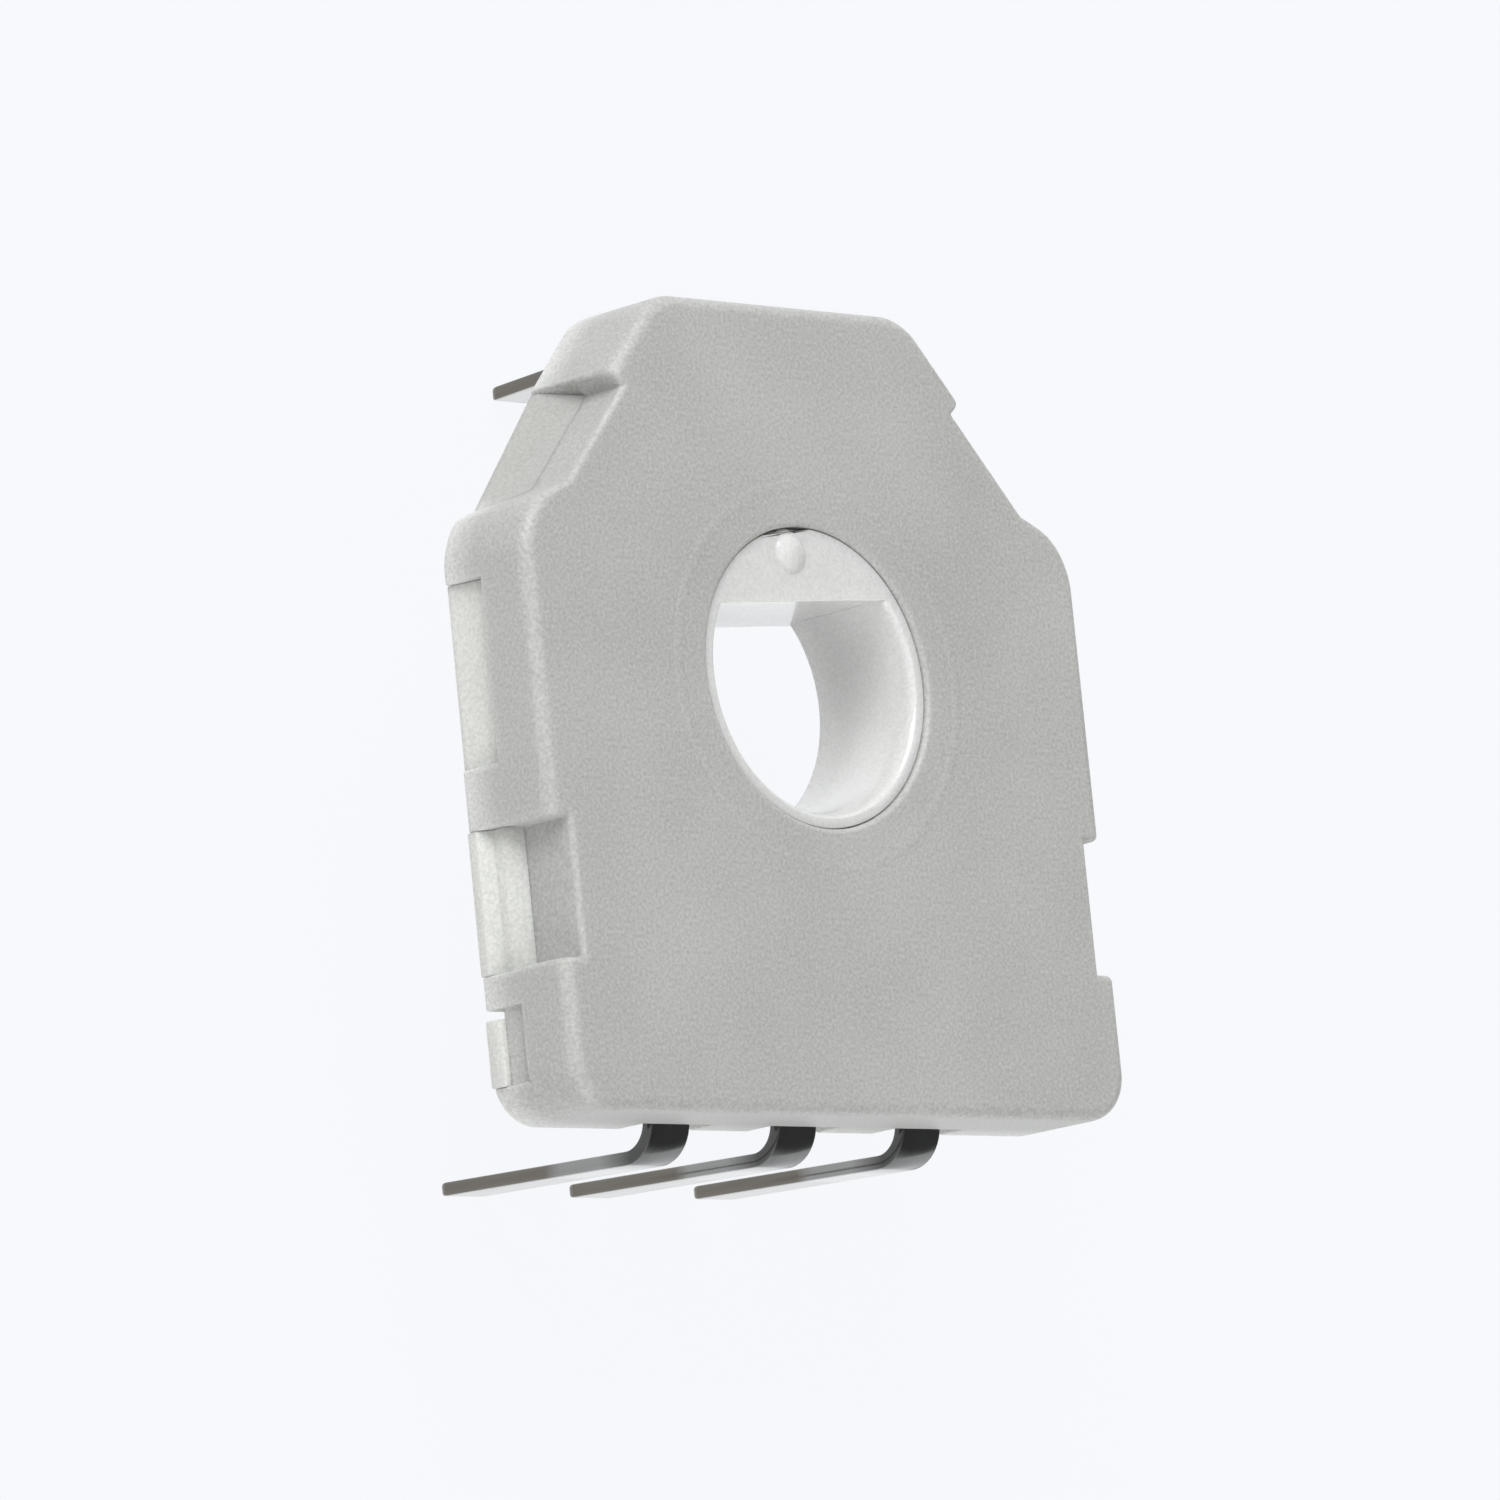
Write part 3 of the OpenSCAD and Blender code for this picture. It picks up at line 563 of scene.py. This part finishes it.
def moulded_plastic(name, deep, pale, paler, rough, grain, polish=0):
    """White moulded plastic: two tones in clouds and specks, and fine mould grain.

    Along an axis it turns paler by a gain from one distance to another: a painted glow of light on the
    housing's rear and in the rotor's bore, a paler colour on the base's sides.
    """
    finish = bpy.data.materials.new(name)
    finish.use_nodes = True
    nodes, links = finish.node_tree.nodes, finish.node_tree.links
    shader = nodes["Principled BSDF"]
    shader.inputs["Subsurface Weight"].default_value = 0.5
    shader.inputs["Subsurface Radius"].default_value = (1, 0.96, 0.86)
    shader.inputs["Subsurface Scale"].default_value = 0.35 * MM
    shader.inputs["Coat Weight"].default_value = polish
    shader.inputs["Coat Roughness"].default_value = 0.08
    where = nodes.new("ShaderNodeTexCoord")
    clouds = nodes.new("ShaderNodeTexNoise")
    clouds.inputs["Scale"].default_value = 420
    clouds.inputs["Detail"].default_value = 5
    links.new(where.outputs["Object"], clouds.inputs["Vector"])
    mould = nodes.new("ShaderNodeTexNoise")
    mould.inputs["Scale"].default_value = 20000
    mould.inputs["Detail"].default_value = 2
    links.new(where.outputs["Object"], mould.inputs["Vector"])
    blend = nodes.new("ShaderNodeMix")
    blend.inputs["Factor"].default_value = 0.75
    links.new(clouds.outputs["Fac"], blend.inputs["A"])
    links.new(mould.outputs["Fac"], blend.inputs["B"])
    speckle = nodes.new("ShaderNodeMapRange")
    speckle.inputs["From Min"].default_value = 0.35
    speckle.inputs["From Max"].default_value = 0.65
    links.new(blend.outputs["Result"], speckle.inputs["Value"])
    tone = nodes.new("ShaderNodeMix")
    tone.data_type = "RGBA"
    tone.inputs["A"].default_value = (*deep, 1)
    tone.inputs["B"].default_value = (*pale, 1)
    links.new(speckle.outputs[0], tone.inputs["Factor"])
    axis, start, end, gain = paler
    place = nodes.new("ShaderNodeSeparateXYZ")
    links.new(where.outputs["Object"], place.inputs[0])
    distance = nodes.new("ShaderNodeMath")
    distance.operation = "ABSOLUTE"
    links.new(place.outputs[axis], distance.inputs[0])
    fade = nodes.new("ShaderNodeMapRange")
    fade.interpolation_type = "SMOOTHSTEP"
    fade.inputs["From Min"].default_value = start * MM
    fade.inputs["From Max"].default_value = end * MM
    links.new(distance.outputs[0], fade.inputs["Value"])
    # Paler by a gain along the axis: painted glow of light on housing and rotor, paler colour on the base's
    # sides
    paler_or_painted_glow = nodes.new("ShaderNodeMix")
    paler_or_painted_glow.data_type = "RGBA"
    paler_or_painted_glow.blend_type = "MULTIPLY"
    paler_or_painted_glow.inputs["B"].default_value = (gain, gain, gain, 1)
    links.new(fade.outputs[0], paler_or_painted_glow.inputs["Factor"])
    links.new(tone.outputs["Result"], paler_or_painted_glow.inputs["A"])
    links.new(paler_or_painted_glow.outputs["Result"], shader.inputs["Base Color"])
    sheen = nodes.new("ShaderNodeMapRange")
    sheen.inputs["To Min"].default_value = rough - 0.06
    sheen.inputs["To Max"].default_value = rough + 0.06
    links.new(mould.outputs["Fac"], sheen.inputs["Value"])
    links.new(sheen.outputs[0], shader.inputs["Roughness"])
    relief = nodes.new("ShaderNodeBump")
    relief.inputs["Strength"].default_value = grain
    relief.inputs["Distance"].default_value = 0.02 * MM
    links.new(mould.outputs["Fac"], relief.inputs["Height"])
    links.new(relief.outputs[0], shader.inputs["Normal"])
    return finish


base_white = moulded_plastic("base_white", deep=(0.43, 0.435, 0.415), pale=(0.53, 0.535, 0.51),
                             paler=("X", side_paler_from, side_paler_to, side_paler_gain), rough=0.4, grain=0.3)
put_piece("base_tray", shape, base_white, "stator", "rear_base")


# The resistive element: a thin laminate with a printed carbon horseshoe and printed silver conductors.
# It lies on the tray's floor round the boss, and the leads run onto the terminals' strips.
def film(name, tone, other, scale, rough, metal=0):
    """A thin sheet or print whose tone wanders between two colours."""
    finish = bpy.data.materials.new(name)
    finish.use_nodes = True
    nodes, links = finish.node_tree.nodes, finish.node_tree.links
    shader = nodes["Principled BSDF"]
    shader.inputs["Metallic"].default_value = metal
    shader.inputs["Roughness"].default_value = rough
    where = nodes.new("ShaderNodeTexCoord")
    grain = nodes.new("ShaderNodeTexNoise")
    grain.inputs["Scale"].default_value = scale
    grain.inputs["Detail"].default_value = 6
    links.new(where.outputs["Object"], grain.inputs["Vector"])
    mix = nodes.new("ShaderNodeMix")
    mix.data_type = "RGBA"
    mix.inputs["A"].default_value = (*tone, 1)
    mix.inputs["B"].default_value = (*other, 1)
    links.new(grain.outputs["Fac"], mix.inputs["Factor"])
    links.new(mix.outputs["Result"], shader.inputs["Base Color"])
    return finish


def dress(node, finish):
    """Gives a solid that stays as it is its finish."""
    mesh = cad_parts[node].data
    mesh.materials.clear()
    mesh.materials.append(finish)


laminate = film("laminate", (0.09, 0.14, 0.07), (0.13, 0.18, 0.10), scale=5000, rough=0.6)
carbon_print = film("carbon_print", (0.010, 0.010, 0.010), (0.022, 0.022, 0.022), scale=12000, rough=0.55)
silver_print = film("silver_print", (0.62, 0.62, 0.60), (0.74, 0.74, 0.72), scale=9000, rough=0.4, metal=1)
dress("element_substrate", laminate)
dress("resistive_track", carbon_print)
dress("collector_ring", silver_print)
dress("end_terminations", silver_print)


# The wiper: one piece of spring sheet, stamped and bent, with fingers on the track and on the collector.
# Two stakes on the rotor's flange hold it, so it turns with the rotor.
spring_alloy = film("spring_alloy", (0.58, 0.40, 0.14), (0.68, 0.49, 0.20), scale=7000, rough=0.3, metal=1)
dress("wiper", spring_alloy)


# The rotor: a white moulding with a D-hole for the shaft, brighter and smoother than the housing.
# Its collars turn in the housing and in the base; a pip and a shallow flat on its collar mark its index.
rotor_turn = math.radians(3.6)
index_turn = math.radians(4.5)
shaft_r = 1.9
shaft_flat = 1.1
lead_in = 0.13
mouth_l = 0.45
collar_r = 2.16
rear_collar_r = 2.45
hub_r = 2.75
hub_z = 0.9
flange_r = 4.1
flange_z = 1.25
flange_top_z = 1.6
rotor_rear_z = 0.04
rotor_front_z = 2.03
rotor_edge = 0.018
pip_y = 1.8
pip_r = 0.3
pip_h = 0.1
relief_d = 0.055
relief_l = 0.1
# Painted backlight: below 0.7 mm, deep in the bore, the rotor is painted up to 1.15 times paler, for light
# coming through the hole from behind
painted_backlight_from = 0.7
painted_backlight_to = 0.2
painted_backlight_gain = 1.15
stake_turn = math.radians(100 / 3)
stake_r = 0.2
stake_head_r = 0.3
stake_from_axis = 3.378
stake_low_z = 1.09
stake_head_z = 1.17
stake_top_z = (flange_z + flange_top_z) / 2

shape = bmesh.new()
add_turned(shape, ((0, rotor_rear_z), (rear_collar_r, rotor_rear_z), (rear_collar_r, hub_z),
                   (hub_r, hub_z), (hub_r, flange_z), (flange_r, flange_z), (flange_r, flange_top_z),
                   (collar_r, flange_top_z), (collar_r, rotor_front_z), (0, rotor_front_z)), steps=128)

shaft = bmesh.new()
mouth_turns = [math.radians(10 * k) for k in range(10)]
mouth = [(shaft_r + lead_in * (1 - math.cos(a)), rotor_front_z - mouth_l * (1 - math.sin(a)))
         for a in mouth_turns]
add_turned(shaft, [(0, rotor_rear_z - over), (shaft_r + lead_in + over, rotor_rear_z - over),
                   (shaft_r, rotor_rear_z + lead_in)] + mouth
           + [(shaft_r + lead_in, rotor_front_z + over), (0, rotor_front_z + over)], steps=128)
cut = bmesh.ops.bisect_plane(shaft, geom=shaft.verts[:] + shaft.edges[:] + shaft.faces[:], dist=weld,
                             plane_co=(0, shaft_flat, 0), plane_no=(0, 1, 0), clear_outer=True)["geom_cut"]
bmesh.ops.edgeloop_fill(shaft, edges=[e for e in cut if isinstance(e, bmesh.types.BMEdge)])
shape = carve(shape, shaft)

index = Matrix.Rotation(index_turn, 4, "Z")
flat = bmesh.new()
add_block(flat, (-collar_r, collar_r - relief_d, rotor_front_z - relief_l),
          (collar_r, collar_r + over, rotor_front_z + over), index)
shape = carve(shape, flat)

pip = bmesh.new()
dome_r = (pip_r ** 2 + pip_h ** 2) / (2 * pip_h)
dome_low = rotor_front_z + pip_h - dome_r
dome_turns = [math.radians(5 * k) for k in range(11)]
dome = [(dome_r * math.sin(a), dome_low + dome_r * math.cos(a)) for a in dome_turns]
add_turned(pip, dome + [(0, rotor_front_z - pip_h)], steps=48, at=index @ Matrix.Translation((0, pip_y, 0)))
shape = carve(shape, pip, "UNION")

stakes = bmesh.new()
for side in (-1, 1):
    round_axis = Matrix.Rotation(math.radians(90) + side * stake_turn, 4, "Z")
    add_turned(stakes, ((0, stake_low_z), (stake_head_r, stake_low_z), (stake_head_r, stake_head_z),
                        (stake_r, stake_head_z), (stake_r, stake_top_z), (0, stake_top_z)), steps=24,
               at=round_axis @ Matrix.Translation((stake_from_axis, 0, 0)))
shape = carve(shape, stakes, "UNION")
soften(shape, rotor_edge, segments=2)
bmesh.ops.rotate(shape, cent=(0, 0, 0), matrix=Matrix.Rotation(rotor_turn, 3, "Z"), verts=shape.verts)

# Deep in the bore its colour is painted paler: painted backlight
rotor_white = moulded_plastic("rotor_white", deep=(0.70, 0.705, 0.69), pale=(0.80, 0.805, 0.79),
                              paler=("Z", painted_backlight_from, painted_backlight_to, painted_backlight_gain), rough=0.2, grain=0.08,
                              polish=0.7)
put_piece("rotor_moulding", shape, rotor_white, "rotor", "rotor")


# The front housing: a white moulded cap that snaps over the base, with a rounded rim round the rotor.
# Its front edges are softly rounded, and notches and windows in the skirt take the base's tongues.
front_inner_z = 1.65
side_wall = 0.7
slope_window_in = 0.9
front_edge_r = 0.21
rear_edge_r = 0.08
notch_edge = 0.09
housing_edge = 0.025
# Painted glow: below 1.15 mm the housing is painted up to 1.5 times paler, for light showing through its
# thin rear skirt
painted_glow_from = 1.15
painted_glow_to = 0.3
painted_glow_gain = 1.5
rim_hole_r = 2.175
rim_r = 0.08
pin_slot_w = 1.39
pin_slot_z = 0.95

shape = body_slab(0, skirt_lift, body_t)
for height, radius in ((body_t, front_edge_r), (skirt_lift, rear_edge_r)):
    loop = [e for e in shape.edges if all(abs(v.co.z - height) < same_place for v in e.verts)]
    bmesh.ops.bevel(shape, geom=loop, offset=radius, offset_type="OFFSET", segments=6, profile=0.5,
                    affect="EDGES", material=-1)
notches = bmesh.new()
add_block(notches, (-slope_notch_d, -slope_notch_l / 2, skirt_lift - over),
          (over, slope_notch_l / 2, body_t + over), on_slope, lean=slope_lean)
add_block(notches, (-side_notch_d, -side_notch_l / 2, skirt_lift - over),
          (over, side_notch_l / 2, body_t + over), on_side(side_notch_y))
shape = carve(shape, both_sides(notches))
notch_low_z = skirt_lift + rear_edge_r - same_place
soften(shape, notch_edge, segments=4, keep=lambda edge: all(v.co.z > notch_low_z for v in edge.verts))
shape = carve(shape, body_slab(side_wall, skirt_lift - over, front_inner_z))

bead_r = 2.75
bead_half = 0.12
bead_h = 0.009
bead_low_z = front_inner_z + 0.2
bead_turns = [math.radians(15 * k) for k in range(13)]
bead_arc = [(bead_r + bead_half * math.cos(a), body_t + bead_h * (2 * math.sin(a) - 1)) for a in bead_turns]
bead = bmesh.new()
add_turned(bead, [(0, bead_low_z), (bead_r + bead_half, bead_low_z)] + bead_arc + [(0, body_t - bead_h)],
           steps=128)
shape = carve(shape, bead, "UNION")

rim_turns = [math.radians(180 - 10 * k) for k in range(10)]
rim_arc = [(rim_hole_r + rim_r + rim_r * math.cos(a), body_t - rim_r + rim_r * math.sin(a))
           for a in rim_turns]
rim = bmesh.new()
add_turned(rim, [(0, front_inner_z - over), (rim_hole_r, front_inner_z - over)] + rim_arc
           + [(rim_hole_r + rim_r, body_t + over), (0, body_t + over)], steps=128)
shape = carve(shape, rim)

slots = bmesh.new()
for x in (-pin_pitch, 0, pin_pitch):
    add_block(slots, (x - pin_slot_w / 2, -body_bottom - over, skirt_lift - over),
              (x + pin_slot_w / 2, -body_bottom + side_wall + over, pin_slot_z))
add_block(slots, (-pin_slot_w / 2, body_top - side_wall - over, skirt_lift - over),
          (pin_slot_w / 2, body_top + over, pin_slot_z))
shape = carve(shape, slots)

recess = bmesh.new()
add_block(recess, (-lower_lug_recess, -lower_window_l / 2, skirt_lift - over),
          (over, lower_window_l / 2, window_z), on_side(lower_window_y))
shape = carve(shape, both_sides(recess))

windows = bmesh.new()
slope_half = slope_notch_l / 2 + window_wider
add_block(windows, (-slope_window_in, -slope_half, skirt_lift - over), (over, slope_half, slope_window_z),
          on_slope, lean=slope_lean)
for y, length, top in ((side_notch_y, side_notch_l + 2 * window_wider, window_z),
                       (upper_window_y, upper_window_l, window_z),
                       (lower_window_y, lower_window_l, lower_heel_z)):
    add_block(windows, (-side_wall - over, -length / 2, skirt_lift - over),
              (over, length / 2, top), on_side(y))
shape = carve(shape, both_sides(windows))
soften(shape, housing_edge, segments=2, keep=open_edge)
# Where two roundings meet at the side notches, their corner is kept within the side faces
for vert in shape.verts:
    vert.co.x = min(max(vert.co.x, -body_w / 2), body_w / 2)

# Its rear is painted paler: painted glow of light through the thin skirt
housing_white = moulded_plastic("housing_white", deep=(0.42, 0.425, 0.41), pale=(0.56, 0.565, 0.55),
                                paler=("Z", painted_glow_from, painted_glow_to, painted_glow_gain), rough=0.42, grain=0.3)
put_piece("housing_cap", shape, housing_white, "stator", "front_housing")
